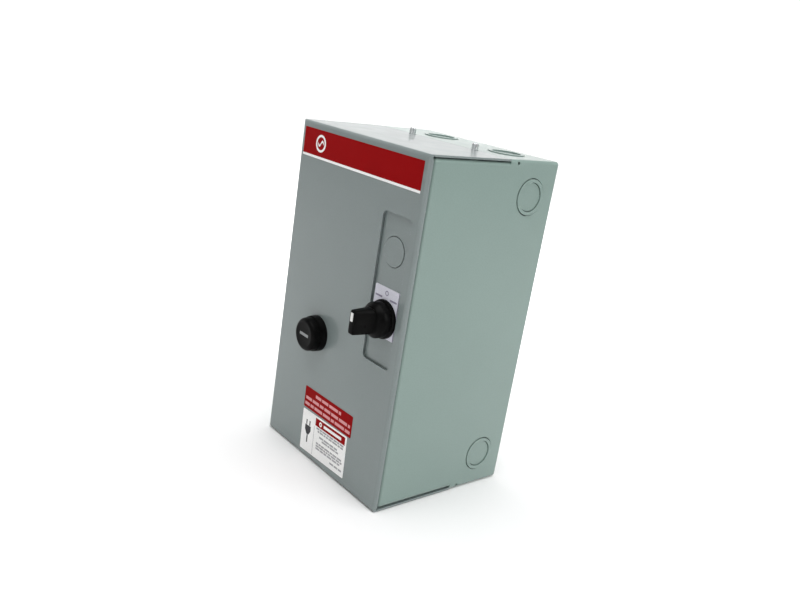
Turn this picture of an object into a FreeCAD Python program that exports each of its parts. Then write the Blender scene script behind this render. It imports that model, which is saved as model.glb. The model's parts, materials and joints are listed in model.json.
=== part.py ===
"""Enclosed magnetic motor starter: a small sheet-metal box for a wall, with its contactor,
overload relay, three-position selector and reset push button.

Millimetres. The origin is on the wall plane, at the centre of the four mounting holes. +Z is up,
+X is to the right as seen from in front, and the front of the box faces -Y.
"""
import FreeCAD, Part
import math
import os

V = FreeCAD.Vector

# Enclosure
WIDTH = 152.0
DEPTH = 131.0
HEIGHT = 266.0
SHEET = 1.5
BEND = 2.5                      # outer radius of every folded corner
COVER_DEPTH = 77.5              # front face to the seam in the top and bottom
COVER_GAP = 0.9                 # air between the cover's flanges and the lowered flanges below them
SEAM_GAP = 0.4
LIP_DEPTH = 3.5                 # side returns of the cover
LIP_GAP = 0.8
RIM = 7.5                       # turned-in flange round the front opening of the base
TONGUE = 12.0                   # shelf under the cover's rear edge, which carries the studs
RELIEF_FROM_SEAM = 8.0
RELIEF_RADIUS = 1.2
CORNER_RELIEF = 1.1

FRONT = -DEPTH
SEAM = FRONT + COVER_DEPTH
HALF_W = WIDTH / 2
HALF_H = HEIGHT / 2
BASE_FRONT = FRONT + LIP_DEPTH + LIP_GAP
SHELF = HALF_H - SHEET - COVER_GAP       # outer face of the lowered flanges

# Conduit knockouts: a ring for the larger conduit, with a disc in it for the smaller one
KNOCKOUT_RADIUS = 14.3
RING_GAP = 0.7
RING_RISE = 0.6                 # how far the ring is pushed out of the wall
SMALL_KNOCKOUT_RADIUS = 11.1
DISC_GAP = 0.5
DISC_SINK = 0.3                 # how far the disc is pushed into the wall
TIE_WIDTH = 3.0
KNOCKOUT_FROM_BACK = 26.5
SIDE_KNOCKOUT_FROM_END = 27.0
END_KNOCKOUTS_X = (-29.5, 44.5)

# Wall mounting
MOUNT_X = 45.0
MOUNT_Z = 110.0
MOUNT_RADIUS = 3.5

# Studs at the seam
STUDS_X = (-31.5, 40.5)
STUD_RADIUS = 2.5
STUD_RISE = 5.0
STUD_FROM_SEAM = 3.0
STUD_SHANK_RADIUS = 1.4
NOTCH_HALF = STUD_RADIUS + 0.5

# Front graphics
BAND_HALF = 71.5
BAND_TOP = 128.0
BAND_BOTTOM = 106.2
STRIPE = 1.8
FILM = 0.2
LABEL_CORNER = 0.8
NOTICE_LABEL = (5.0, -82.1, 64.8, 17.8, 1.0)       # centre x and z, width, height, tilt in degrees
HAZARD_LABEL = (4.0, -109.9, 61.0, 35.0, 2.1)

# Pilot opening and its plate
PILOT_X = 52.5
OPENING_HALF = 15.6
OPENING_TOP = 87.5
OPENING_BOTTOM = -23.0
OPENING_CORNER = 4.0
PLATE_OVERLAP = 5.0
PLATE_STANDOFF = 0.6
PLATE_FRONT = FRONT + SHEET + PLATE_STANDOFF
PLATE_BACK = PLATE_FRONT + SHEET
BLANK_Z = 60.8
BLANK_GAP = 0.5
BLANK_RISE = 0.45               # how far the blank is pushed out of the plate
SELECTOR_Z = 11.5
DEVICE_HOLE = 11.25

# Pilot devices
DEVICE_RADIUS = 11.0
BEZEL_RADIUS = 14.3
LEGEND = 0.8
SHAFT_RADIUS = 8.0
RUNNING = 0.05                  # radial clearance of a shaft in its guide
RESET_X = -22.5
RESET_Z = -26.7
RESET_TRAVEL = 4.5

# Selector, from the legend plate back to the contact blocks
LEGEND_FRONT = PLATE_FRONT - LEGEND
SELECTOR_BEZEL_FRONT = LEGEND_FRONT - 2.6
KNOB_BACK = SELECTOR_BEZEL_FRONT - 0.3
SKIRT = 9.6                     # depth of the knob's round skirt
GRIP_FRONT = FRONT - 27.0
SELECTOR_BODY_BACK = FRONT + 23.0
CARRIER_FRONT = FRONT + 10.5
CARRIER_BACK = FRONT + 22.0
CAM_BACK = FRONT + 25.5
CONTACT_FRONT = FRONT + 28.0
CONTACT_BACK = FRONT + 48.0

# Reset push button
RESET_BEZEL_FRONT = FRONT - 5.6
RESET_FRONT = FRONT - 12.6
RESET_FLOOR = FRONT - 0.5
RESET_BODY_BACK = FRONT + 22.0
STEM_RADIUS = 7.0
STEM_BACK = FRONT + 8.0
ROD_RADIUS = 3.0

# Contactor and overload relay share one centre line
STARTER_X = RESET_X
STARTER_HALF = 22.5
RAIL_Z = 35.0
RAIL_HALF = 17.5
RAIL_HEIGHT = 7.5
BASE_BACK = -SHEET - RAIL_HEIGHT - 0.3
SPLIT = -45.0                   # joint plane of the contactor's two housings
CONTACTOR_FRONT = -80.0
CONTACTOR_HALF_Z = 40.0
POLES = (-13.5, 0.0, 13.5)
ARMATURE_TRAVEL = 4.5
RELAY_TOP = -15.0
RELAY_BOTTOM = -86.0
RELAY_BACK = -12.0
RELAY_FRONT = -86.0

# Contactor parts
TERMINAL_OFFSET = 31.0
CONTACT_SEAT = -56.0
TIP = 0.9                       # how far a contact tip stands out of its strip
BRIDGE_BACK = CONTACT_SEAT - 2 * TIP - ARMATURE_TRAVEL - 0.3
BRIDGE_FRONT = BRIDGE_BACK - 1.2
CARRIER_ROOT = -43.0
CARRIER_HEAD = -72.5
ARMATURE_FRONT = CARRIER_ROOT
CORE_BACK = BASE_BACK - 3.4
POLE_FACE = -31.5
COIL_TERMINAL_X = STARTER_X - 15.0

# Overload relay parts
RELAY_BUTTON_FRONT = RELAY_FRONT - 5.0
RESET_ROD_TIP = RELAY_BUTTON_FRONT - 0.35
DIAL_X = STARTER_X + 11.0
DIAL_Z = RESET_Z - 12.0
TEST_X = STARTER_X - 12.0
TEST_Z = DIAL_Z
RELAY_TERMINAL_Z = RELAY_BOTTOM + 9.0
CONTROL_TERMINAL_Z = RELAY_TERMINAL_Z + 13.0
CONTROL_TERMINALS = (-16.5, -5.5, 5.5, 16.5)

# Ground lug and control wires
LUG_X = 40.0
LUG_Z = -88.0
WIRE_RADIUS = 1.3


def block(x, y, z):
    """Box between two limits on each axis."""
    low = V(min(x), min(y), min(z))
    return Part.makeBox(max(x) - low.x, max(y) - low.y, max(z) - low.z, low)


def rod_y(x, z, y0, y1, radius):
    """Round bar along Y."""
    return Part.makeCylinder(radius, abs(y1 - y0), V(x, min(y0, y1), z), V(0, 1, 0))


def rod_z(x, y, z0, z1, radius):
    """Round bar along Z."""
    return Part.makeCylinder(radius, abs(z1 - z0), V(x, y, min(z0, z1)), V(0, 0, 1))


def rod_x(y, z, x0, x1, radius):
    """Round bar along X."""
    return Part.makeCylinder(radius, abs(x1 - x0), V(min(x0, x1), y, z), V(1, 0, 0))


def turned_y(x, z, profile):
    """Solid of revolution about an axis along Y, from (radius, y) points."""
    points = [V(radius, y, 0) for radius, y in profile]
    face = Part.Face(Part.makePolygon(points + points[:1]))
    solid = face.revolve(V(0, 0, 0), V(0, 1, 0), 360)
    solid.translate(V(x, 0, z))
    return solid


def tube_y(x, z, y0, y1, outer, inner):
    return rod_y(x, z, y0, y1, outer).cut(rod_y(x, z, y0 - 1, y1 + 1, inner))


def hexagon_y(x, z, y0, y1, across_flats):
    """Hexagonal bar along Y."""
    radius = across_flats / math.sqrt(3)
    turns = [math.radians(30 + 60 * i) for i in range(7)]
    ring = [V(x + radius * math.cos(a), y0, z + radius * math.sin(a)) for a in turns]
    return Part.Face(Part.makePolygon(ring)).extrude(V(0, y1 - y0, 0))


def round_edges(shape, radius, chosen):
    """Fillet the edges for which chosen(edge) is true."""
    edges = [edge for edge in shape.Edges if chosen(edge)]
    return shape.makeFillet(radius, edges)


def runs_along(edge, axis):
    """True for a straight edge that runs along the named axis."""
    span = edge.BoundBox
    lengths = {"x": span.XLength, "y": span.YLength, "z": span.ZLength}
    longest = lengths.pop(axis)
    return longest > 0.01 and max(lengths.values()) < 0.01


def lies_ahead(edge, y):
    """True for an edge wholly in the plane at y or ahead of it."""
    return edge.BoundBox.YMax < y + 0.01


def lies_behind(edge, y):
    """True for an edge wholly in the plane at y or behind it."""
    return edge.BoundBox.YMin > y - 0.01


def fuse(shapes):
    first, rest = shapes[0], shapes[1:]
    return first.multiFuse(rest).removeSplitter() if rest else first


def group(shapes):
    """Separate solids that share one node."""
    return Part.makeCompound(shapes)


def slotted_screw(x, z, head_front, tip, head_radius, shank_radius):
    """Cheese-head screw along Y whose head faces the front."""
    head_back = head_front + head_radius * 0.8
    head = rod_y(x, z, head_front, head_back, head_radius)
    slot = block((x - head_radius, x + head_radius), (head_front, head_front + 0.9), (z - 0.5, z + 0.5))
    return fuse([head.cut(slot), rod_y(x, z, head_back, tip, shank_radius)])


def coil_spring(x, z, y0, y1, radius, wire_radius, turns):
    """Round-wire compression spring along Y."""
    length = abs(y1 - y0) - 2 * wire_radius
    path = Part.Wire(Part.makeHelix(length / turns, length, radius).Edges)
    section = Part.Wire(Part.makeCircle(wire_radius, V(radius, 0, 0), V(0, 1, 0)))
    spring = Part.Solid(path.makePipeShell([section], True, True))
    spring.rotate(V(0, 0, 0), V(1, 0, 0), -90)
    spring.translate(V(x, min(y0, y1) + wire_radius, z))
    return spring


def bent_wire(points, radius, bend):
    """Insulated wire: straight runs joined by tangent arcs."""
    corners = [V(*point) for point in points]
    edges = []
    start = corners[0]
    for before, corner, after in zip(corners, corners[1:], corners[2:]):
        back = (before - corner).normalize()
        ahead = (after - corner).normalize()
        half_turn = (math.pi - back.getAngle(ahead)) / 2
        reach = bend * math.tan(half_turn)
        arc_start = corner + back * reach
        arc_end = corner + ahead * reach
        middle = corner + (back + ahead).normalize() * (bend / math.cos(half_turn) - bend)
        edges.append(Part.makeLine(start, arc_start))
        edges.append(Part.Arc(arc_start, middle, arc_end).toShape())
        start = arc_end
    edges.append(Part.makeLine(start, corners[-1]))
    path = Part.Wire(edges)
    direction = corners[1] - corners[0]
    section = Part.Wire(Part.makeCircle(radius, corners[0], direction))
    return Part.Solid(path.makePipeShell([section], True, True))


# ---- Enclosure -------------------------------------------------------------------------------

def ties(centre, inward, radius, gap):
    """Two blocks that bridge the gap inside a circle, ahead of its centre and behind it."""
    shallow, deep = DISC_SINK, SHEET - RING_RISE
    half_width = inward.cross(V(0, TIE_WIDTH / 2, 0))
    half_depth = inward * ((deep - shallow) / 2)
    half = V(abs(half_width.x + half_depth.x), gap, abs(half_width.z + half_depth.z))
    blocks = []
    for sign in (-1, 1):
        reach = V(0, sign * (radius - gap / 2), 0)
        middle = centre + reach + inward * ((shallow + deep) / 2)
        low, high = middle - half, middle + half
        blocks.append(block((low.x, high.x), (low.y, high.y), (low.z, high.z)))
    return blocks


def knockout(centre, inward):
    """Opening to cut from a wall, and the sheared ring, disc and ties that fill it."""
    hole = Part.makeCylinder(KNOCKOUT_RADIUS, SHEET + 2, centre - inward, inward)
    ring_face = centre - inward * RING_RISE
    ring = Part.makeCylinder(KNOCKOUT_RADIUS - RING_GAP, SHEET, ring_face, inward)
    ring = ring.cut(Part.makeCylinder(SMALL_KNOCKOUT_RADIUS, SHEET, ring_face, inward))
    disc_face = centre + inward * DISC_SINK
    disc = Part.makeCylinder(SMALL_KNOCKOUT_RADIUS - DISC_GAP, SHEET, disc_face, inward)
    outer_ties = ties(centre, inward, KNOCKOUT_RADIUS, RING_GAP)
    inner_ties = ties(centre, inward, SMALL_KNOCKOUT_RADIUS, DISC_GAP)
    return hole, [ring, disc] + outer_ties + inner_ties


def both_ways(limit):
    return (-limit, limit)


def rear_shell():
    """Back, rear part of the top and bottom, and the sides as far as the seam."""
    outer = block(both_ways(HALF_W), (SEAM, 0), both_ways(HALF_H))
    outer = round_edges(outer, BEND, lambda edge: runs_along(edge, "y") or lies_behind(edge, 0))
    inner = block(both_ways(HALF_W - SHEET), (SEAM - 10, -SHEET), both_ways(HALF_H - SHEET))

    def is_inner_bend(edge):
        return runs_along(edge, "y") or lies_behind(edge, -SHEET)

    inner = round_edges(inner, BEND - SHEET, is_inner_bend)
    return outer.cut(inner)


def front_shell():
    """Sides ahead of the seam, lower than the rear by the cover's flange, with turned-in flanges."""
    outer = block(both_ways(HALF_W), (BASE_FRONT, SEAM + SHEET), both_ways(SHELF))
    outer = round_edges(outer, BEND, lambda edge: runs_along(edge, "y") or lies_ahead(edge, BASE_FRONT))
    inner = block(both_ways(HALF_W - SHEET), (BASE_FRONT + SHEET, SEAM + 10), both_ways(SHELF - SHEET))
    mouth = block(both_ways(HALF_W - RIM), (BASE_FRONT - 1, BASE_FRONT + 4), both_ways(SHELF - RIM))
    skylight = block(both_ways(HALF_W - RIM), (BASE_FRONT + RIM, SEAM - TONGUE), both_ways(HALF_H))
    return outer.cut(inner).cut(mouth).cut(skylight)


def knockout_places():
    """Centre and inward direction of every conduit knockout."""
    places = []
    for end in (-1, 1):
        for sign in (-1, 1):
            side_z = end * (HALF_H - SIDE_KNOCKOUT_FROM_END)
            places.append((V(sign * HALF_W, -KNOCKOUT_FROM_BACK, side_z), V(-sign, 0, 0)))
        for x in END_KNOCKOUTS_X:
            places.append((V(x, -KNOCKOUT_FROM_BACK, end * HALF_H), V(0, 0, -end)))
    return places


def enclosure_base():
    shells = [rear_shell(), front_shell()]
    holes = []
    for end in (-1, 1):
        joggle_z = (end * (SHELF - SHEET), end * (HALF_H - 0.2))
        shells.append(block(both_ways(HALF_W - SHEET), (SEAM, SEAM + SHEET), joggle_z))
        for sign in (-1, 1):
            holes.append(rod_y(sign * MOUNT_X, end * MOUNT_Z, -SHEET - 1, 1, MOUNT_RADIUS))
            relief_x = (sign * (HALF_W - SHEET - 1), sign * (HALF_W + 1))
            relief_z = end * (HALF_H - BEND)
            holes.append(rod_x(SEAM + RELIEF_FROM_SEAM, relief_z, *relief_x, RELIEF_RADIUS))
    for x in STUDS_X:
        holes.append(rod_z(x, SEAM - STUD_FROM_SEAM, SHELF - 3, SHELF + 1, STUD_SHANK_RADIUS))
    fillings = []
    for centre, inward in knockout_places():
        hole, filling = knockout(centre, inward)
        holes.append(hole)
        fillings += filling
    return fuse([fuse(shells).cut(group(holes))] + fillings)


def pilot_opening(y0, y1):
    """Prism of the long opening for pilot devices."""
    opening = block(
        (PILOT_X - OPENING_HALF, PILOT_X + OPENING_HALF),
        (y0, y1),
        (OPENING_BOTTOM, OPENING_TOP),
    )
    return round_edges(opening, OPENING_CORNER, lambda edge: runs_along(edge, "y"))


def front_cover():
    """Face with short side lips, a deep top flange and a deep bottom flange."""
    outer = block(both_ways(HALF_W), (FRONT, SEAM - SEAM_GAP), both_ways(HALF_H))
    outer = round_edges(outer, BEND, lambda edge: lies_ahead(edge, FRONT))
    inner = block(both_ways(HALF_W - SHEET), (FRONT + SHEET, SEAM + 5), both_ways(HALF_H - SHEET))
    inner = round_edges(inner, BEND - SHEET, lambda edge: lies_ahead(edge, FRONT + SHEET))
    open_sides = block(both_ways(HALF_W + 1), (FRONT + LIP_DEPTH, SEAM + 5), both_ways(HALF_H - SHEET))
    through_face = (FRONT - 1, FRONT + SHEET + 1)
    cuts = [open_sides, pilot_opening(*through_face), rod_y(RESET_X, RESET_Z, *through_face, DEVICE_HOLE)]
    for end in (-1, 1):
        relief_z = end * (HALF_H - SHEET - 0.6)
        for sign in (-1, 1):
            relief_x = (sign * (HALF_W - 2), sign * (HALF_W + 1))
            cuts.append(rod_x(FRONT + LIP_DEPTH, relief_z, *relief_x, CORNER_RELIEF))
    for x in STUDS_X:
        notch_y = SEAM - STUD_FROM_SEAM
        through_top = (HALF_H - SHEET - 1, HALF_H + 1)
        cuts.append(rod_z(x, notch_y, *through_top, NOTCH_HALF))
        cuts.append(block((x - NOTCH_HALF, x + NOTCH_HALF), (notch_y, SEAM + 1), through_top))
    return outer.cut(inner).cut(group(cuts))


def cover_studs():
    """Plated studs that stand on the shelf at the seam."""
    studs = []
    for x in STUDS_X:
        y = SEAM - STUD_FROM_SEAM
        top = HALF_H + STUD_RISE
        body = rod_z(x, y, SHELF, top, STUD_RADIUS)
        body = round_edges(body, 0.4, lambda edge: edge.BoundBox.ZMin > top - 0.01)
        studs.append(fuse([body, rod_z(x, y, SHELF - SHEET - 0.8, SHELF, STUD_SHANK_RADIUS)]))
    return group(studs)


# ---- Graphics on the cover -------------------------------------------------------------------

def film(x0, x1, z0, z1, y=FRONT):
    """Thin film stuck on a face that looks to the front."""
    return block((x0, x1), (y - FILM, y), (z0, z1))


def label(x, z, width, height, tilt):
    """Film with rounded corners, centred on x and z and stuck on a little askew."""
    sheet = film(x - width / 2, x + width / 2, z - height / 2, z + height / 2)
    sheet = round_edges(sheet, LABEL_CORNER, lambda edge: runs_along(edge, "y"))
    sheet.rotate(V(x, FRONT, z), V(0, 1, 0), -tilt)
    return sheet


def header_band():
    return film(-BAND_HALF, BAND_HALF, BAND_BOTTOM + STRIPE, BAND_TOP)


def header_stripe():
    return film(-BAND_HALF, BAND_HALF, BAND_BOTTOM, BAND_BOTTOM + STRIPE)


def notice_label():
    return label(*NOTICE_LABEL)


def hazard_label():
    return label(*HAZARD_LABEL)


# ---- Pilot plate -----------------------------------------------------------------------------

def pilot_plate_corners():
    """Places of the plate's four fixings, above and below the opening."""
    reach = PLATE_OVERLAP + 2.5
    return [(PILOT_X + dx, z) for dx in (-9.0, 9.0) for z in (OPENING_BOTTOM - reach, OPENING_TOP + reach)]


def pilot_plate():
    """Plate behind the opening: a hole for the selector, and a blank held by two ties above it."""
    plate = block(
        (PILOT_X - OPENING_HALF - PLATE_OVERLAP, PILOT_X + OPENING_HALF + 1.5),
        (PLATE_FRONT, PLATE_BACK),
        (OPENING_BOTTOM - 2.4 * PLATE_OVERLAP, OPENING_TOP + 2.4 * PLATE_OVERLAP),
    )
    plate = round_edges(plate, 2.0, lambda edge: runs_along(edge, "y"))
    through = (PLATE_FRONT - 1, PLATE_BACK + 1)
    cuts = [rod_y(PILOT_X, z, *through, DEVICE_HOLE) for z in (BLANK_Z, SELECTOR_Z)]
    cuts += [rod_y(x, z, *through, 1.7) for x, z in pilot_plate_corners()]
    blank_y = (PLATE_FRONT - BLANK_RISE, PLATE_BACK - BLANK_RISE)
    blank = rod_y(PILOT_X, BLANK_Z, *blank_y, DEVICE_HOLE - BLANK_GAP)
    tie_x = (PILOT_X - DEVICE_HOLE - 0.3, PILOT_X + DEVICE_HOLE + 0.3)
    tie = block(tie_x, (PLATE_FRONT + 0.3, PLATE_BACK - BLANK_RISE), (BLANK_Z - 1.2, BLANK_Z + 1.2))
    return fuse([plate.cut(group(cuts)), blank, tie])


def pilot_plate_studs():
    """Weld studs on the back of the cover, with a shoulder that spaces the plate."""
    studs = []
    for x, z in pilot_plate_corners():
        shoulder = rod_y(x, z, FRONT + SHEET, PLATE_FRONT, 2.6)
        studs.append(fuse([shoulder, rod_y(x, z, PLATE_FRONT, PLATE_BACK + 5.0, 1.5)]))
    return group(studs)


def pilot_plate_nuts():
    nuts = []
    for x, z in pilot_plate_corners():
        nut = hexagon_y(x, z, PLATE_BACK, PLATE_BACK + 2.4, 5.5)
        nuts.append(nut.cut(rod_y(x, z, PLATE_BACK - 1, PLATE_BACK + 4, 1.5)))
    return group(nuts)


# ---- Selector --------------------------------------------------------------------------------


def legend_plate():
    plate = block((PILOT_X - 13.6, PILOT_X + 13.6), (LEGEND_FRONT, PLATE_FRONT), (-1.7, 34.5))
    plate = round_edges(plate, 0.8, lambda edge: runs_along(edge, "y"))
    return plate.cut(rod_y(PILOT_X, SELECTOR_Z, FRONT - 5, PLATE_FRONT + 1, DEVICE_HOLE))


def selector_bezel():
    """Flange in front of the plate and the threaded body that passes through it."""
    profile = [
        (SHAFT_RADIUS, SELECTOR_BEZEL_FRONT),
        (BEZEL_RADIUS - 1.2, SELECTOR_BEZEL_FRONT),
        (BEZEL_RADIUS, SELECTOR_BEZEL_FRONT + 1.0),
        (BEZEL_RADIUS, LEGEND_FRONT),
        (DEVICE_RADIUS, LEGEND_FRONT),
        (DEVICE_RADIUS, SELECTOR_BODY_BACK),
        (SHAFT_RADIUS, SELECTOR_BODY_BACK),
    ]
    return turned_y(PILOT_X, SELECTOR_Z, profile)


def ring_nut(x, z, y_front):
    """Round plastic nut with grip notches."""
    nut = tube_y(x, z, y_front, y_front + 5.0, 13.6, DEVICE_RADIUS)
    notches = []
    for i in range(12):
        angle = math.radians(30 * i)
        cx, cz = x + 13.9 * math.cos(angle), z + 13.9 * math.sin(angle)
        notches.append(rod_y(cx, cz, y_front - 1, y_front + 6, 1.1))
    return nut.cut(group(notches))


def selector_nut():
    return ring_nut(PILOT_X, SELECTOR_Z, PLATE_BACK)


def selector_knob():
    """Round skirt with a tapered vertical grip."""
    skirt_front = KNOB_BACK - SKIRT
    edge = [(12.2, KNOB_BACK), (12.2, KNOB_BACK - 6.6), (9.6, skirt_front)]
    skirt = turned_y(PILOT_X, SELECTOR_Z, [(0, KNOB_BACK)] + edge + [(0, skirt_front)])
    root = KNOB_BACK - 2.0
    sections = []
    for y, half_x, half_z in ((root, 5.4, 10.6), (GRIP_FRONT, 2.9, 8.6)):
        signs = [(-1, -1), (1, -1), (1, 1), (-1, 1), (-1, -1)]
        ring = [V(PILOT_X + a * half_x, y, SELECTOR_Z + b * half_z) for a, b in signs]
        sections.append(Part.makePolygon(ring))
    grip = Part.makeLoft(sections, True, True)
    grip = round_edges(grip, 1.2, lambda edge: edge.BoundBox.YMin < root - 0.5)
    hub = rod_y(PILOT_X, SELECTOR_Z, KNOB_BACK - 0.5, FRONT + 1.0, SHAFT_RADIUS - RUNNING)
    return fuse([skirt, grip, hub]).cut(pointer_block(GRIP_FRONT - 1))


def pointer_block(y_front):
    x = (PILOT_X - 1.4, PILOT_X + 1.4)
    return block(x, (y_front, GRIP_FRONT + 0.8), (SELECTOR_Z + 0.8, SELECTOR_Z + 7.0))


def selector_pointer():
    """White insert in the upper half of the grip's front edge."""
    return pointer_block(GRIP_FRONT - 0.15)


def selector_cam():
    """Shaft behind the knob, with two ramps that lift the contact plungers."""
    shaft = rod_y(PILOT_X, SELECTOR_Z, FRONT + 1.0, CAM_BACK - 3.0, SHAFT_RADIUS - RUNNING)
    disc = rod_y(PILOT_X, SELECTOR_Z, CAM_BACK - 3.0, CAM_BACK, SHAFT_RADIUS - RUNNING)
    reliefs = []
    for sign in (-1, 1):
        x = (PILOT_X + sign * 1.0, PILOT_X + sign * 9.0)
        reliefs.append(block(x, (CAM_BACK - 2.4, CAM_BACK + 1), (SELECTOR_Z - 9, SELECTOR_Z - 3.5)))
    return fuse([shaft, disc]).cut(group(reliefs))


def contact_block_mount():
    """Latch plate that locks on the selector's body and carries the contact blocks."""
    x, z = PILOT_X, SELECTOR_Z
    plate = block((x - 14.5, x + 14.5), (CARRIER_FRONT, CARRIER_BACK), (z - 15, z + 15))
    plate = round_edges(plate, 2.0, lambda edge: runs_along(edge, "y"))
    lever = block((x - 4, x + 4), (CARRIER_FRONT + 1, CARRIER_FRONT + 4), (z + 14, z + 20))
    feet = []
    for sign in (-1, 1):
        for end in (-1, 1):
            foot_x = (x + sign * 9, x + sign * 13)
            foot_z = (z + end * 10, z + end * 14.5)
            feet.append(block(foot_x, (CARRIER_BACK, CONTACT_FRONT), foot_z))
    return fuse([plate, lever] + feet).cut(rod_y(x, z, FRONT, CARRIER_BACK + 3, DEVICE_RADIUS))


def contact_block(sign):
    """One contact element, with its terminal screws moulded over, on one side of the selector."""
    centre = PILOT_X + sign * 7.3
    x = (centre - 7.0, centre + 7.0)
    body = block(x, (CONTACT_FRONT, CONTACT_BACK), (SELECTOR_Z - 20, SELECTOR_Z + 20))
    body = round_edges(body, 1.0, lambda edge: runs_along(edge, "y"))
    cuts = [rod_y(centre, SELECTOR_Z, CONTACT_FRONT - 1, CONTACT_FRONT + 8, 2.0)]
    for end in (-1, 1):
        terminal_z = SELECTOR_Z + end * 15
        cuts.append(rod_y(centre, terminal_z, CONTACT_BACK - 4, CONTACT_BACK + 1, 3.0))
        step = sorted((SELECTOR_Z + end * 18.5, SELECTOR_Z + end * 21))
        cuts.append(block((centre - 3, centre + 3), (CONTACT_BACK - 12, CONTACT_BACK - 6), step))
    return body.cut(group(cuts))


def contact_plunger(sign):
    """Sprung plunger that the cam pushes into its contact block."""
    centre = PILOT_X + sign * 7.3
    return rod_y(centre, SELECTOR_Z, CAM_BACK + 0.4, CONTACT_FRONT + 4.5, 2.0 - RUNNING)


def contact_block_screws():
    """Terminal screws in the backs of both contact blocks."""
    screws = []
    for sign in (-1, 1):
        for end in (-1, 1):
            x, z = PILOT_X + sign * 7.3, SELECTOR_Z + end * 15
            head = rod_y(x, z, CONTACT_BACK - 4, CONTACT_BACK - 1.6, 2.8)
            slot = block((x - 3, x + 3), (CONTACT_BACK - 2.4, CONTACT_BACK), (z - 0.4, z + 0.4))
            screws.append(head.cut(slot))
    return group(screws)


# ---- Reset push button -----------------------------------------------------------------------


def reset_bezel():
    profile = [
        (STEM_RADIUS, RESET_FLOOR),
        (13.45, RESET_FLOOR),
        (13.45, RESET_BEZEL_FRONT),
        (13.9, RESET_BEZEL_FRONT),
        (14.3, FRONT - 2.0),
        (14.3, FRONT),
        (DEVICE_RADIUS, FRONT),
        (DEVICE_RADIUS, RESET_BODY_BACK),
        (ROD_RADIUS + RUNNING, RESET_BODY_BACK),
        (ROD_RADIUS + RUNNING, RESET_BODY_BACK - 2.5),
        (STEM_RADIUS, RESET_BODY_BACK - 2.5),
    ]
    return turned_y(RESET_X, RESET_Z, profile)


def reset_nut():
    return ring_nut(RESET_X, RESET_Z, FRONT + SHEET)


def reset_button():
    """Black cap with a soft front edge, and the stem that guides it."""
    back = RESET_FLOOR - RESET_TRAVEL - 0.2
    edge = [(13.2, back), (13.2, RESET_FRONT + 2.0), (12.5, RESET_FRONT + 0.4), (11.4, RESET_FRONT)]
    cap = turned_y(RESET_X, RESET_Z, [(0, back)] + edge + [(0, RESET_FRONT)])
    stem = rod_y(RESET_X, RESET_Z, back, STEM_BACK, STEM_RADIUS - RUNNING)
    return fuse([cap, stem])


def reset_mark():
    """White bar printed on the cap."""
    return film(RESET_X - 6.0, RESET_X + 6.0, RESET_Z - 1.3, RESET_Z + 1.3, y=RESET_FRONT)


def reset_rod():
    """Rod from the stem to the overload relay's own button."""
    return rod_y(RESET_X, RESET_Z, STEM_BACK, RESET_ROD_TIP, ROD_RADIUS)


def reset_spring():
    return coil_spring(RESET_X, RESET_Z, STEM_BACK + 0.1, RESET_BODY_BACK - 2.6, 5.0, 0.5, 5)


# ---- Contactor -------------------------------------------------------------------------------

def mounting_rail():
    """Top-hat rail, 35 mm wide."""
    x = (STARTER_X - 45.0, STARTER_X + 45.0)
    web = block(x, (-SHEET - 1.0, -SHEET), (RAIL_Z - 13.5, RAIL_Z + 13.5))
    parts = [web]
    for sign in (-1, 1):
        wall = sorted((RAIL_Z + sign * 12.5, RAIL_Z + sign * 13.5))
        flange = sorted((RAIL_Z + sign * 12.5, RAIL_Z + sign * RAIL_HALF))
        parts.append(block(x, (-SHEET - RAIL_HEIGHT, -SHEET), wall))
        parts.append(block(x, (-SHEET - RAIL_HEIGHT, -SHEET - RAIL_HEIGHT + 1.0), flange))
    rail = fuse(parts)
    return rail.cut(group([rod_y(x_hole, RAIL_Z, -5, 0, 2.2) for x_hole in rail_screw_places()]))


def rail_screw_places():
    return (STARTER_X - 36.0, STARTER_X + 36.0)


def rail_screws():
    y = (-SHEET - 1.0 - 3.2, -SHEET - 0.2)
    return group([slotted_screw(x, RAIL_Z, *y, 4.0, 2.1) for x in rail_screw_places()])


def starter_x(half):
    return (STARTER_X - half, STARTER_X + half)


def contactor_base():
    """Rear housing: rail hooks at the back and a well for the magnet."""
    z = (RAIL_Z - CONTACTOR_HALF_Z, RAIL_Z + CONTACTOR_HALF_Z)
    body = block(starter_x(STARTER_HALF), (BASE_BACK, SPLIT), z)
    body = round_edges(body, 1.5, lambda edge: runs_along(edge, "y"))
    well = block(starter_x(19.5), (BASE_BACK - 3.0, SPLIT - 1), (RAIL_Z - 26, RAIL_Z + 26))
    hooks = []
    for sign in (-1, 1):
        hook = sorted((RAIL_Z + sign * (RAIL_HALF + 0.2), RAIL_Z + sign * (RAIL_HALF + 5)))
        hooks.append(block(starter_x(16), (BASE_BACK, -SHEET - 3.0), hook))
    return fuse([body.cut(well)] + hooks)


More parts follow.
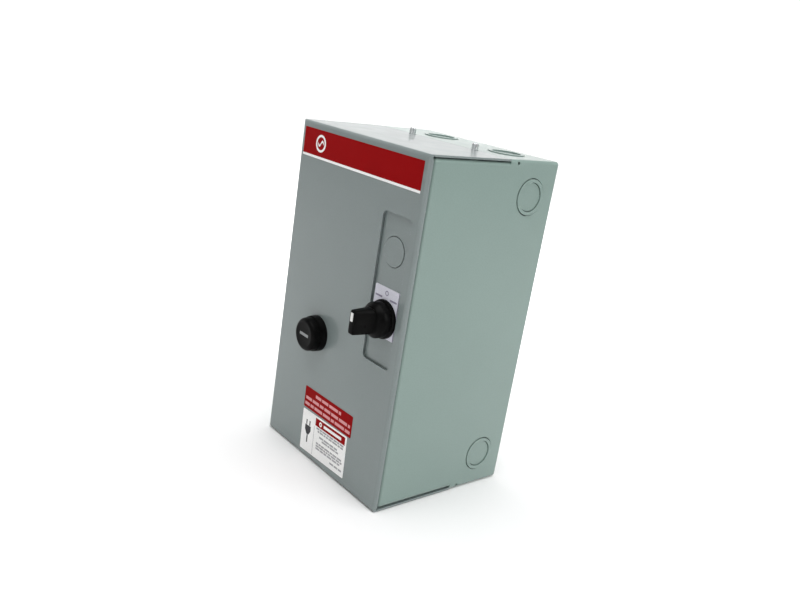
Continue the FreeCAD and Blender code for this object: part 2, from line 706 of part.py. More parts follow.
def contactor_housing():
    """Front housing: arc chamber, terminal wells and a window for the carrier's indicator."""
    z = (RAIL_Z - CONTACTOR_HALF_Z, RAIL_Z + CONTACTOR_HALF_Z)
    body = block(starter_x(STARTER_HALF), (SPLIT, CONTACTOR_FRONT), z)
    body = round_edges(body, 1.5, lambda edge: runs_along(edge, "y") or lies_ahead(edge, CONTACTOR_FRONT))
    chamber = block(starter_x(20.5), (SPLIT + 1, CONTACTOR_FRONT + 4), (RAIL_Z - 19, RAIL_Z + 19))
    window = block(starter_x(6.3), (CONTACTOR_FRONT - 1, CONTACTOR_FRONT + 5), (RAIL_Z - 4.3, RAIL_Z + 4.3))
    cuts = [chamber, window]
    for pole in POLES:
        x = STARTER_X + pole
        for sign in (-1, 1):
            terminal_z = RAIL_Z + sign * TERMINAL_OFFSET
            cuts.append(rod_y(x, terminal_z, CONTACTOR_FRONT - 1, CONTACT_SEAT, 3.6))
            slot = sorted((RAIL_Z + sign * 18, RAIL_Z + sign * (CONTACTOR_HALF_Z + 1)))
            cuts.append(block((x - 4.0, x + 4.0), (CONTACT_SEAT - 6.0, CONTACT_SEAT + 1.6), slot))
    return body.cut(group(cuts))


def fixed_contacts():
    """Six contact strips, from the arc chamber out to the terminals."""
    strips = []
    for pole in POLES:
        x = (STARTER_X + pole - 3.4, STARTER_X + pole + 3.4)
        for sign in (-1, 1):
            run = sorted((RAIL_Z + sign * 8, RAIL_Z + sign * 37))
            strip = block(x, (CONTACT_SEAT, CONTACT_SEAT + 1.2), run)
            y = (CONTACT_SEAT - TIP, CONTACT_SEAT + 0.5)
            button = rod_y(STARTER_X + pole, RAIL_Z + sign * 10.5, *y, 2.2)
            strips.append(fuse([strip, button]))
    return group(strips)


def terminal_screws():
    screws = []
    for pole in POLES:
        for sign in (-1, 1):
            z = RAIL_Z + sign * TERMINAL_OFFSET
            y = (CONTACT_SEAT - 8.0, CONTACT_SEAT - 0.05)
            screws.append(slotted_screw(STARTER_X + pole, z, *y, 3.3, 1.9))
    return group(screws)


def moving_bridges():
    """One bridge per pole, with a contact tip at each end."""
    bridges = []
    for pole in POLES:
        x = STARTER_X + pole
        bar = block((x - 3.0, x + 3.0), (BRIDGE_FRONT, BRIDGE_BACK), (RAIL_Z - 13, RAIL_Z + 13))
        tip_y = (BRIDGE_BACK - 0.6, BRIDGE_BACK + TIP)
        tips = [rod_y(x, RAIL_Z + end * 10.5, *tip_y, 2.0) for end in (-1, 1)]
        bridges.append(fuse([bar] + tips))
    return group(bridges)


def contact_carrier():
    """Moulded slide that carries the bridges; its nose shows in the housing's window."""
    body = block(starter_x(18.6), (CARRIER_ROOT, CARRIER_HEAD), (RAIL_Z - 4.5, RAIL_Z + 4.5))
    windows = []
    for pole in POLES:
        x = STARTER_X + pole
        y = (BRIDGE_FRONT - 6.5, BRIDGE_BACK)
        windows.append(block((x - 3.1, x + 3.1), y, (RAIL_Z - 5, RAIL_Z + 5)))
    nose = block(starter_x(6.0), (CARRIER_HEAD + 1, CONTACTOR_FRONT - 0.8), (RAIL_Z - 4.0, RAIL_Z + 4.0))
    lugs = block(starter_x(4.5), (CARRIER_ROOT, SPLIT + 0.4), (RAIL_Z - 25, RAIL_Z + 25))
    return fuse([body.cut(group(windows)), nose, lugs])


def bridge_springs():
    """Springs in the carrier's windows that press the bridges towards the fixed contacts."""
    y = (BRIDGE_FRONT - 0.05, BRIDGE_FRONT - 6.4)
    return group([coil_spring(STARTER_X + pole, RAIL_Z, *y, 2.0, 0.3, 5) for pole in POLES])


def e_core(yoke_y, leg_tip, half_z):
    """Laminated E: one yoke and three legs."""
    parts = [block(starter_x(17.0), yoke_y, (RAIL_Z - half_z, RAIL_Z + half_z))]
    yoke_side = min(yoke_y, key=lambda y: abs(y - leg_tip))
    for offset, half in ((-14.5, 2.5), (0.0, 4.0), (14.5, 2.5)):
        x = (STARTER_X + offset - half, STARTER_X + offset + half)
        parts.append(block(x, (yoke_side, leg_tip), (RAIL_Z - half_z, RAIL_Z + half_z)))
    return fuse(parts)


def fixed_core():
    return e_core((CORE_BACK, CORE_BACK - 5.0), POLE_FACE + 3.0, 8.0)


def armature():
    return e_core((ARMATURE_FRONT + 5.0, ARMATURE_FRONT), POLE_FACE + 3.0 - ARMATURE_TRAVEL - 0.3, 8.0)


def coil_bobbin():
    """Flanged former round the centre leg."""
    y_back = CORE_BACK - 5.3
    y_front = -32.5
    flange = 1.2
    outer_z = (RAIL_Z - 17, RAIL_Z + 17)
    parts = [
        block(starter_x(11.3), (y_back, y_back - flange), outer_z),
        block(starter_x(11.3), (y_front + flange, y_front), outer_z),
        block(starter_x(5.3), (y_back, y_front), (RAIL_Z - 9.6, RAIL_Z + 9.6)),
    ]
    return fuse(parts).cut(block(starter_x(4.3), (y_back + 1, y_front - 1), (RAIL_Z - 8.4, RAIL_Z + 8.4)))


def coil_winding():
    """Copper winding between the bobbin's flanges."""
    y = (CORE_BACK - 5.3 - 1.25, -32.5 + 1.25)
    winding = block(starter_x(10.6), y, (RAIL_Z - 16, RAIL_Z + 16))
    winding = round_edges(winding, 3.0, lambda edge: runs_along(edge, "y"))
    return winding.cut(block(starter_x(5.35), (y[0] + 1, y[1] - 1), (RAIL_Z - 9.65, RAIL_Z + 9.65)))


def return_springs():
    """Two springs above and below the bobbin that push the carrier's lugs forward."""
    y = (BASE_BACK - 3.1, CARRIER_ROOT + 0.1)
    return group([coil_spring(STARTER_X, RAIL_Z + sign * 21.5, *y, 2.6, 0.35, 8) for sign in (-1, 1)])


def coil_terminals():
    """Two brass clips on the rear housing's ends for the coil leads."""
    clips = []
    for sign in (-1, 1):
        z = sorted((RAIL_Z + sign * (CONTACTOR_HALF_Z + 0.05), RAIL_Z + sign * (CONTACTOR_HALF_Z + 1.1)))
        foot = block((COIL_TERMINAL_X - 3.5, COIL_TERMINAL_X + 3.5), (-24.0, -38.0), z)
        seat = sorted((RAIL_Z + sign * (CONTACTOR_HALF_Z + 0.05), RAIL_Z + sign * (CONTACTOR_HALF_Z + 8.5)))
        shelf = block((COIL_TERMINAL_X - 3.5, COIL_TERMINAL_X + 3.5), (-30.0, -31.2), seat)
        clips.append(fuse([foot, shelf]))
    return group(clips)


def coil_terminal_screws():
    screws = []
    for sign in (-1, 1):
        z = RAIL_Z + sign * (CONTACTOR_HALF_Z + 5.2)
        screws.append(slotted_screw(COIL_TERMINAL_X, z, -33.8, -31.25, 2.8, 1.5))
    return group(screws)


# ---- Overload relay --------------------------------------------------------------------------


def overload_housing():
    body = block(starter_x(STARTER_HALF), (RELAY_BACK, RELAY_FRONT), (RELAY_BOTTOM, RELAY_TOP))
    body = round_edges(body, 1.5, lambda edge: runs_along(edge, "y") or lies_ahead(edge, RELAY_FRONT))
    step = block(starter_x(23), (RELAY_FRONT - 1, -62.0), (RELAY_BOTTOM - 1, RELAY_BOTTOM + 27))
    interior = block(starter_x(20.5), (RELAY_BACK - 3, -58.0), (RELAY_BOTTOM + 30, RELAY_TOP - 3))
    cuts = [step, interior]
    cuts.append(rod_y(RESET_X, RESET_Z, RELAY_FRONT - 1, RELAY_FRONT + 8, 3.6))
    cuts.append(rod_y(TEST_X, TEST_Z, RELAY_FRONT - 1, RELAY_FRONT + 8, 3.0))
    cuts.append(rod_y(DIAL_X, DIAL_Z, RELAY_FRONT - 1, RELAY_FRONT + 3.5, 6.6))
    for pole in POLES:
        x = STARTER_X + pole
        cuts.append(rod_y(x, RELAY_TERMINAL_Z, -63.0, -50.0, 3.6))
        cuts.append(block((x - 4, x + 4), (-56.0, -48.0), (RELAY_BOTTOM - 1, RELAY_BOTTOM + 16)))
        pin_y = (CONTACT_SEAT - 4.2, CONTACT_SEAT - 0.8)
        cuts.append(block((x - 3.5, x + 3.5), pin_y, (RELAY_TOP - 5, RELAY_TOP + 1)))
    for offset in CONTROL_TERMINALS:
        cuts.append(rod_y(STARTER_X + offset, CONTROL_TERMINAL_Z, -63.0, -56.0, 2.7))
    return body.cut(group(cuts))


def connection_pins():
    """Three stiff copper pins from the relay up into the contactor's lower terminals."""
    pins = []
    for pole in POLES:
        x = STARTER_X + pole
        y = (CONTACT_SEAT - 3.6, CONTACT_SEAT - 1.4)
        pins.append(block((x - 2.4, x + 2.4), y, (RELAY_TOP - 4.8, RAIL_Z - TERMINAL_OFFSET - 3.8)))
    return group(pins)


def heater_strips():
    """Bimetal strips inside the relay, one per pole."""
    strips = []
    for pole in POLES:
        x = STARTER_X + pole
        strips.append(block((x - 2.5, x + 2.5), (-34.0, -35.2), (RELAY_BOTTOM + 31, RELAY_TOP - 5)))
    return group(strips)


def relay_terminals():
    """Load terminal plates at the foot of the relay."""
    plates = []
    for pole in POLES:
        x = STARTER_X + pole
        plates.append(block((x - 3.6, x + 3.6), (-49.9, -48.1), (RELAY_BOTTOM + 2, RELAY_BOTTOM + 15)))
    return group(plates)


def relay_screws():
    screws = [slotted_screw(STARTER_X + pole, RELAY_TERMINAL_Z, -58.0, -50.0, 3.3, 1.9) for pole in POLES]
    for offset in CONTROL_TERMINALS:
        screws.append(slotted_screw(STARTER_X + offset, CONTROL_TERMINAL_Z, -61.0, -56.1, 2.4, 1.4))
    return group(screws)


def current_dial():
    """Setting dial with a screwdriver slot."""
    back, front = RELAY_FRONT + 3.2, RELAY_FRONT - 1.2
    dial = turned_y(DIAL_X, DIAL_Z, [(0, back), (6.3, back), (6.3, front + 0.6), (5.7, front), (0, front)])
    slot = block((DIAL_X - 0.7, DIAL_X + 0.7), (front - 1, front + 1.6), (DIAL_Z - 4.4, DIAL_Z + 4.4))
    return dial.cut(slot)


def relay_button(x, z, front, radius, back):
    """Small round push button with a softened front edge."""
    profile = [(0, back), (radius, back), (radius, front + 0.5), (radius - 0.5, front), (0, front)]
    return turned_y(x, z, profile)


def overload_reset_button():
    return relay_button(RESET_X, RESET_Z, RELAY_BUTTON_FRONT, 3.6 - RUNNING, RELAY_FRONT + 3.0)


def overload_test_button():
    return relay_button(TEST_X, TEST_Z, RELAY_FRONT - 2.6, 3.0 - RUNNING, RELAY_FRONT + 4.5)


# ---- Grounding and wires ---------------------------------------------------------------------


def ground_lug():
    """Saddle lug on the back panel."""
    base = block((LUG_X - 5, LUG_X + 5), (-SHEET - 2.0, -SHEET), (LUG_Z - 12, LUG_Z + 8))
    barrel = block((LUG_X - 5, LUG_X + 5), (-SHEET - 12.0, -SHEET), (LUG_Z - 12, LUG_Z - 2))
    barrel = round_edges(barrel, 1.5, lambda edge: runs_along(edge, "z") and lies_ahead(edge, -SHEET - 12))
    bore = rod_z(LUG_X, -SHEET - 6.0, LUG_Z - 13, LUG_Z - 1, 2.6)
    screw_hole = rod_y(LUG_X, LUG_Z - 7, -SHEET - 13, -SHEET - 6, 2.0)
    return fuse([base, barrel]).cut(group([bore, screw_hole, rod_y(LUG_X, LUG_Z + 3, -6, 0, 1.8)]))


def ground_screws():
    """The lug's fixing screw, and the clamping screw in its barrel."""
    fixing = slotted_screw(LUG_X, LUG_Z + 3, -SHEET - 2.0 - 2.6, -SHEET - 0.1, 3.2, 1.75)
    clamp = slotted_screw(LUG_X, LUG_Z - 7, -SHEET - 12.0 - 2.6, -SHEET - 8.8, 3.2, 1.95)
    return group([fixing, clamp])


def control_wire_upper():
    """From the contactor's upper coil terminal down to the relay's first control terminal."""
    x_run = STARTER_X - STARTER_HALF - 9.0
    terminal_z = RAIL_Z + CONTACTOR_HALF_Z + 5.2
    end_x = STARTER_X + CONTROL_TERMINALS[0]
    points = [
        (COIL_TERMINAL_X, -35.2, terminal_z),
        (COIL_TERMINAL_X, -46.0, terminal_z),
        (x_run, -50.0, terminal_z),
        (x_run, -66.0, CONTROL_TERMINAL_Z + 12.0),
        (x_run, -72.0, CONTROL_TERMINAL_Z),
        (end_x, -72.0, CONTROL_TERMINAL_Z),
        (end_x, -61.1, CONTROL_TERMINAL_Z),
    ]
    return bent_wire(points, WIRE_RADIUS, 3.5)


def control_wire_lower():
    """From the relay's last control terminal up beside the contactor, to a free end above it."""
    x_run = STARTER_X + STARTER_HALF + 8.0
    end_x = STARTER_X + CONTROL_TERMINALS[3]
    points = [
        (end_x, -61.1, CONTROL_TERMINAL_Z),
        (end_x, -73.0, CONTROL_TERMINAL_Z),
        (x_run, -73.0, CONTROL_TERMINAL_Z),
        (x_run, -40.0, CONTROL_TERMINAL_Z + 20.0),
        (x_run, -28.0, RAIL_Z + CONTACTOR_HALF_Z + 12.0),
        (COIL_TERMINAL_X + 14.0, -28.0, RAIL_Z + CONTACTOR_HALF_Z + 12.0),
    ]
    return bent_wire(points, WIRE_RADIUS, 3.5)


NODES = {
    "enclosure_base": enclosure_base,
    "front_cover": front_cover,
    "cover_studs": cover_studs,
    "header_band": header_band,
    "header_stripe": header_stripe,
    "notice_label": notice_label,
    "hazard_label": hazard_label,
    "pilot_plate": pilot_plate,
    "pilot_plate_studs": pilot_plate_studs,
    "pilot_plate_nuts": pilot_plate_nuts,
    "legend_plate": legend_plate,
    "selector_bezel": selector_bezel,
    "selector_nut": selector_nut,
    "selector_knob": selector_knob,
    "selector_pointer": selector_pointer,
    "selector_cam": selector_cam,
    "contact_block_mount": contact_block_mount,
    "left_contact_block": lambda: contact_block(-1),
    "right_contact_block": lambda: contact_block(1),
    "left_contact_plunger": lambda: contact_plunger(-1),
    "right_contact_plunger": lambda: contact_plunger(1),
    "contact_block_screws": contact_block_screws,
    "reset_bezel": reset_bezel,
    "reset_nut": reset_nut,
    "reset_button": reset_button,
    "reset_mark": reset_mark,
    "reset_rod": reset_rod,
    "reset_spring": reset_spring,
    "mounting_rail": mounting_rail,
    "rail_screws": rail_screws,
    "contactor_base": contactor_base,
    "contactor_housing": contactor_housing,
    "fixed_contacts": fixed_contacts,
    "contactor_terminal_screws": terminal_screws,
    "moving_bridges": moving_bridges,
    "contact_carrier": contact_carrier,
    "bridge_springs": bridge_springs,
    "fixed_core": fixed_core,
    "armature": armature,
    "coil_bobbin": coil_bobbin,
    "coil_winding": coil_winding,
    "return_springs": return_springs,
    "coil_terminals": coil_terminals,
    "coil_terminal_screws": coil_terminal_screws,
    "overload_housing": overload_housing,
    "connection_pins": connection_pins,
    "heater_strips": heater_strips,
    "relay_terminals": relay_terminals,
    "relay_screws": relay_screws,
    "current_dial": current_dial,
    "overload_reset_button": overload_reset_button,
    "overload_test_button": overload_test_button,
    "ground_lug": ground_lug,
    "ground_screws": ground_screws,
    "control_wire_upper": control_wire_upper,
    "control_wire_lower": control_wire_lower,
}


def main():
    os.makedirs("parts", exist_ok=True)
    for name, make in NODES.items():
        make().exportStep(f"parts/{name}.step")


main()
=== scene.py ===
"""Looks of an enclosed motor starter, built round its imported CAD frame.

Metres, in the CAD frame: +Z is up, +X is to the right as seen from in front, and the front of
the box faces -Y. Most CAD nodes keep their shape and get a procedural finish. The knob, the push
button, the springs and the printed graphics are built here, and so are small details inside.
"""
import json
import math
import random

import bmesh
import bpy
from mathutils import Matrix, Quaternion, Vector


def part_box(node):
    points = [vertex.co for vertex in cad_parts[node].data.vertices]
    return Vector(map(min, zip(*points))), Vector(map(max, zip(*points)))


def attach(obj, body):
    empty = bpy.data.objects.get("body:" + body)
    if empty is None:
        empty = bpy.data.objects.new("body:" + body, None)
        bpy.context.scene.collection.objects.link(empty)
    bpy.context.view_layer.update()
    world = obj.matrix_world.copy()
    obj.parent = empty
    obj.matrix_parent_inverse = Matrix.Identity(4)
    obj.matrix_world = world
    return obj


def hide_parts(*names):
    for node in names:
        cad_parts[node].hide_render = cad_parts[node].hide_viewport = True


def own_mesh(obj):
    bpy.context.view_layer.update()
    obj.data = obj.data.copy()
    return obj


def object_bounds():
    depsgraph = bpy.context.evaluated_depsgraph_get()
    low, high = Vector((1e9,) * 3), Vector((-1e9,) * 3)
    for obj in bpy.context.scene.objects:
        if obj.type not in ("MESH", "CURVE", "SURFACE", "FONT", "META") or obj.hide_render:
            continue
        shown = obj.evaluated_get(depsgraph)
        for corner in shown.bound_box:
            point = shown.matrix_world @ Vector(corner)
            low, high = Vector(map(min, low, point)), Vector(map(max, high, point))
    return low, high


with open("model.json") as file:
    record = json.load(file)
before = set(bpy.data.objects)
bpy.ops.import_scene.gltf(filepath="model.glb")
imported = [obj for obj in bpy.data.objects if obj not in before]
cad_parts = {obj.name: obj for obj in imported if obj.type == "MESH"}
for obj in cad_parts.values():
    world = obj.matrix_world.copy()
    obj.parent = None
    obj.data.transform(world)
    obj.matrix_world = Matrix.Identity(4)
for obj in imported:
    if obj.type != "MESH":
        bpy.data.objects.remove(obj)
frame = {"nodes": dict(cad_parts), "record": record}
cad_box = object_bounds()

MM = 0.001
NODES = frame["nodes"]

# Camera, placed from the origin of the frame
CAMERA_PLACE = Vector((0.4599, -0.4814, 0.1882))
CAMERA_AZIMUTH = math.radians(48.16)
CAMERA_ELEVATION = math.radians(16.64)
CAMERA_ROLL = math.radians(9.08)
CAMERA_LENS = 35.83             # on a sensor 36 wide

# Stage
FLOOR_RADIUS = 2.2
COVE_RADIUS = 1.2
WALL_TOP = 3.0
BACKDROP_AZIMUTH = 228          # degrees from the front towards +X: straight behind, for the camera

# Printed graphics, in millimetres
INK = 0.04                      # how far print stands out of its film
BAND_SYMBOL_FROM_LEFT = 23.0
BAND_SYMBOL_RADIUS = 6.6
BAND_SYMBOL_LINE = 1.7
WAVE_STEPS = 32
WAVE_HALF_LINE = 0.85
NOTICE_WIDTH = 64.8
NOTICE_TILT = math.radians(1.0)
NOTICE_ROWS = ((15.0, 3.6), (2.0, -1.7), (1.5, -6.6))    # inset from both sides, foot
NOTICE_ROW_HEIGHT = 2.5
HAZARD_SIZE = (61.0, 35.0)
HAZARD_TILT = math.radians(2.1)
ICON_COLUMN = 17.6              # width of the hazard label's left column
HEADER_HEIGHTS = (8.0, 1.4)     # foot and top of the red header, below the label's top
HAZARD_ROWS = (                 # inset from the column line, inset from the right, foot
    (3.0, 1.5, 7.2),
    (5.0, 3.0, 5.0),
    (8.0, 10.0, 1.0),
    (12.0, 8.0, -1.2),
    (4.5, 3.5, -5.2),
    (4.5, 3.0, -7.4),
    (4.5, 5.5, -9.6),
    (25.0, 2.5, -13.6),
)
HAZARD_ROW_HEIGHT = 1.5
LEGEND_SIZE = (27.2, 36.2)
LEGEND_RING = (19.1, 1.9, 1.15)                          # above the selector, outer and inner radius
LEGEND_BARS = ((-12.3, -4.6), (4.2, 11.8))               # left and right ends
LEGEND_BAR_HEIGHTS = (14.6, 15.9)                        # foot and top, above the selector
PAINTED_EDGE_SHADOW = 0.5                 # width of the painted shadow line down the legend plate's right edge

# Knob, in millimetres
KNOB_HUB = 7.95                 # radius of the part inside the bezel
KNOB_GAP = 0.3                  # between the skirt and the bezel
SKIRT = 9.6                     # depth of the knob's round skirt
SKIRT_PROFILE = (               # radius, distance forward of the skirt's back
    (12.8, 0.0),
    (13.1, 0.3),
    (13.1, 5.4),
    (12.8, 6.0),
    (10.6, 8.7),
    (10.0, 9.3),
    (9.5, SKIRT),
)
GRIP_SHARES = (0.03, 0.08, 0.16, 0.3, 0.5, 0.7, 0.86, 0.93)
GRIP_ROLL = 1.15                # radius of the grip's front edge
GRIP_FRONT_HALF = (3.0, 8.8)    # half its width and height at the front

# Push button, in millimetres
CAP_DEPTH = 7.4
CAP_ROLL = 2.9                  # radius of the cap's front edge
STEM_RADIUS = 6.95
DISH_PROFILE = ((0.74, 0.04), (0.68, 0.14), (0.6, 0.24), (0.4, 0.33), (0.1, 0.38))
BUTTON_DISH = 0.55              # from the mark's face in the CAD to the dished face of the cap
BUTTON_BAR = (5.8, 1.1)         # half its width and height

# Springs, in millimetres: radius of the wire, and free turns
RESET_WIRE = 0.5
RESET_TURNS = 5
RETURN_WIRE = 0.35
RETURN_TURNS = 7

# Contactor and overload relay, in millimetres
POLE_PITCH = 13.5
RIB_COUNT = 6
RIB_PITCH = 2.9
RIB_HEIGHT = 1.3
RIB_RISE = 0.7
FIRST_RIB = 7.5                 # above the middle of the contactor
PLATE_RISE = 0.3
PLATE_HALF_WIDTH = 16.0
PLATE_HEIGHTS = (-21.0, -8.0)   # foot and top, from the middle of the contactor
PLATE_MARGIN = 1.5
PLATE_ROWS = 4
PLATE_ROW_PITCH = 2.9
TICKS = 11
TICK_RADII = (7.2, 8.6, 9.4)    # inner end, outer end of a short tick, outer end of a long one
TICK_HALF_WIDTH = 0.22
DIAL_SWEEP = 135                # degrees to each side

# Soft lights: name, azimuth and elevation in degrees, distance and size in metres, watts
SOFTBOXES = (
    ("overhead_softbox", 20, 78, 1.5, 1.4, 22.5),
    ("right_softbox", 108, 30, 1.5, 1.0, 9.5),
    ("front_softbox", 22, 2, 1.4, 0.8, 1.9),
)
BACKDROP_SOFTBOX = ("backdrop_softbox", BACKDROP_AZIMUTH, 75, 1.4, 1.2, 72)
BACKDROP_ELEVATION = 8          # of the place on the wall that it lights


# ---- Finishes ----------------------------------------------------------------------------------

class Finish:
    """A procedural material round one Principled shader."""

    def __init__(self, name, colour, roughness, **sockets):
        self.material = bpy.data.materials.new(name)
        self.material.use_nodes = True
        self.tree = self.material.node_tree
        self.shader = self.tree.nodes["Principled BSDF"]
        self.place = self.add("ShaderNodeTexCoord").outputs["Object"]
        self.roughness = roughness
        self.paint = colour
        self.shader.inputs["Base Color"].default_value = (*colour, 1)
        self.shader.inputs["Roughness"].default_value = roughness
        for socket, value in sockets.items():
            self.shader.inputs[socket.replace("_", " ")].default_value = value

    def add(self, kind, **values):
        """Adds a node and sets its inputs by name."""
        node = self.tree.nodes.new(kind)
        for socket, value in values.items():
            node.inputs[socket.replace("_", " ")].default_value = value
        return node

    def link(self, source, target):
        """Joins an output to an input."""
        self.tree.links.new(source, target)

    def noise(self, size, detail=3.0, stretch=(1, 1, 1), sharpness=0.5):
        """Noise with features about size metres across, stretched along each axis."""
        mapping = self.add("ShaderNodeMapping", Scale=[1 / (size * s) for s in stretch])
        noise = self.add("ShaderNodeTexNoise", Scale=1.0, Detail=detail, Roughness=sharpness)
        self.link(self.place, mapping.inputs["Vector"])
        self.link(mapping.outputs["Vector"], noise.inputs["Vector"])
        return noise.outputs["Fac"]

    def remap(self, source, low, high, from_low=0.2, from_high=0.8):
        """Stretches part of a factor's range to low..high."""
        ranged = self.add(
            "ShaderNodeMapRange", From_Min=from_low, From_Max=from_high, To_Min=low, To_Max=high
        )
        self.link(source, ranged.inputs["Value"])
        return ranged.outputs["Result"]

    def blend(self, factor, colour):
        """Mixes another colour into the base colour where the factor is high."""
        mix = self.add("ShaderNodeMix")
        mix.data_type = "RGBA"
        share, first, second = [socket for socket in mix.inputs if socket.enabled]
        base = self.shader.inputs["Base Color"]
        if base.is_linked:
            self.link(base.links[0].from_socket, first)
        else:
            first.default_value = base.default_value
        second.default_value = (*colour, 1)
        self.link(factor, share)
        self.link([socket for socket in mix.outputs if socket.enabled][0], base)

    def mottle(self, size, amount, detail=4.0, stretch=(1, 1, 1)):
        """Lightens and darkens the base colour in soft patches."""
        darker = [channel * (1 - amount) for channel in self.paint]
        lighter = [min(1, channel * (1 + amount)) for channel in self.paint]
        patches = self.noise(size, detail, stretch)
        self.blend(self.remap(patches, 0.0, 1.0, 0.5, 0.85), lighter)
        self.blend(self.remap(patches, 1.0, 0.0, 0.15, 0.5), darker)

    def smudge(self, size, amount, stretch=(1, 1, 1)):
        """Makes the gloss uneven."""
        patches = self.noise(size, 4.0, stretch)
        low, high = max(0.03, self.roughness - amount), self.roughness + amount
        self.link(self.remap(patches, low, high), self.shader.inputs["Roughness"])

    def relief(self, height, source):
        """Adds bumps of that height in metres on top of the bumps already there."""
        bump = self.add("ShaderNodeBump", Strength=1.0, Distance=height)
        self.link(source, bump.inputs["Height"])
        normal = self.shader.inputs["Normal"]
        if normal.is_linked:
            self.link(normal.links[0].from_socket, bump.inputs["Normal"])
        self.link(bump.outputs["Normal"], normal)

    def edges(self, radius):
        """Factor that is high on outside and inside edges, out to about that radius."""
        bevel = self.add("ShaderNodeBevel", Radius=radius)
        bevel.samples = 4
        geometry = self.add("ShaderNodeNewGeometry")
        dot = self.add("ShaderNodeVectorMath")
        dot.operation = "DOT_PRODUCT"
        self.link(bevel.outputs["Normal"], dot.inputs[0])
        self.link(geometry.outputs["Normal"], dot.inputs[1])
        return self.remap(dot.outputs["Value"], 1.0, 0.0, 0.86, 0.995)

    def both(self, first, second):
        """Product of two factors."""
        product = self.add("ShaderNodeMath")
        product.operation = "MULTIPLY"
        self.link(first, product.inputs[0])
        self.link(second, product.inputs[1])
        return product.outputs["Value"]


def enamel(name, colour):
    """Baked glossy enamel on sheet steel: faint orange peel, handling marks and worn edges."""
    finish = Finish(
        name, colour, 0.36, Specular_IOR_Level=0.3, Coat_Weight=0.5, Coat_Roughness=0.03
    )
    finish.mottle(0.055, 0.03)
    finish.mottle(0.0011, 0.05, detail=2.0)
    finish.smudge(0.02, 0.05)
    finish.relief(0.000006, finish.noise(0.0016, 2.0))
    finish.relief(0.00003, finish.noise(0.03, 1.0))
    patchy = finish.remap(finish.noise(0.004, 3.0), 0.0, 1.0, 0.52, 0.66)
    worn = finish.both(finish.edges(0.0007), patchy)
    finish.blend(worn, [min(1, channel * 1.5 + 0.06) for channel in colour])
    scuffs = finish.remap(finish.noise(0.0025, 2.0, (1.0, 1.0, 14.0)), 0.0, 0.2, 0.74, 0.8)
    finish.blend(scuffs, [min(1, channel * 1.35) for channel in colour])
    return finish.material


def plated(name, colour, roughness=0.1):
    """Bright zinc plating: a drawn grain with cloudy patches."""
    finish = Finish(name, colour, roughness, Metallic=1.0)
    finish.mottle(0.004, 0.08)
    finish.blend(finish.remap(finish.noise(0.006, 2.0), 0.0, 0.3, 0.55, 0.7), (0.78, 0.74, 0.62))
    finish.smudge(0.0015, 0.08)
    finish.relief(0.000004, finish.noise(0.0004, 2.0, (1, 1, 12)))
    return finish.material


def bare_metal(name, colour, roughness=0.28):
    """Stamped or drawn metal with dull handling marks."""
    finish = Finish(name, colour, roughness, Metallic=1.0)
    finish.mottle(0.003, 0.12)
    dull = [channel * 0.55 for channel in colour]
    finish.blend(finish.remap(finish.noise(0.005, 5.0), 0.0, 0.5, 0.55, 0.75), dull)
    finish.smudge(0.0012, 0.09)
    finish.relief(0.00001, finish.noise(0.0003, 2.0, (1, 1, 10)))
    return finish.material


def vinyl(name, colour, roughness=0.4, specular=0.25):
    """Printed film that follows the orange peel of the paint under it."""
    finish = Finish(name, colour, roughness, Specular_IOR_Level=specular)
    finish.mottle(0.02, 0.06)
    finish.mottle(0.0006, 0.1, detail=2.0)
    finish.smudge(0.012, 0.06)
    finish.relief(0.000014, finish.noise(0.0018, 2.0))
    return finish.material


def moulded(name, colour, roughness=0.42, grain=0.00045, specular=0.4):
    """Moulded plastic with a fine spark-eroded texture."""
    finish = Finish(name, colour, roughness, Specular_IOR_Level=specular)
    finish.mottle(0.012, 0.12)
    finish.smudge(0.006, 0.06)
    finish.relief(0.000018, finish.noise(grain, 2.0))
    patchy = finish.remap(finish.noise(0.002, 3.0), 0.0, 0.6, 0.5, 0.65)
    rubbed = finish.both(finish.edges(0.0004), patchy)
    finish.blend(rubbed, [channel * 1.3 + 0.015 for channel in colour])
    return finish.material


def wound_wire(name, colour):
    """Enamelled magnet wire, laid turn beside turn round the bobbin, with painted shade in the grooves
    between turns.
    """
    finish = Finish(name, colour, 0.25, Metallic=0.9)
    wave = finish.add("ShaderNodeTexWave", Scale=0.32 / 0.0012, Distortion=0.6)
    wave.bands_direction = "Y"
    finish.link(finish.place, wave.inputs["Vector"])
    finish.relief(0.0002, wave.outputs["Fac"])
    # Colour darkened in the grooves between turns: painted shade
    painted_shade_between_turns = finish.remap(wave.outputs["Fac"], 0.7, 0.0, 0.0, 0.5)
    finish.blend(painted_shade_between_turns, [channel * 0.4 for channel in colour])
    return finish.material


def jacket(name, colour):
    """Extruded insulation with faint lines along the wire."""
    finish = Finish(name, colour, 0.35)
    finish.mottle(0.01, 0.15)
    finish.smudge(0.004, 0.08)
    finish.relief(0.00002, finish.noise(0.0008, 2.0))
    return finish.material


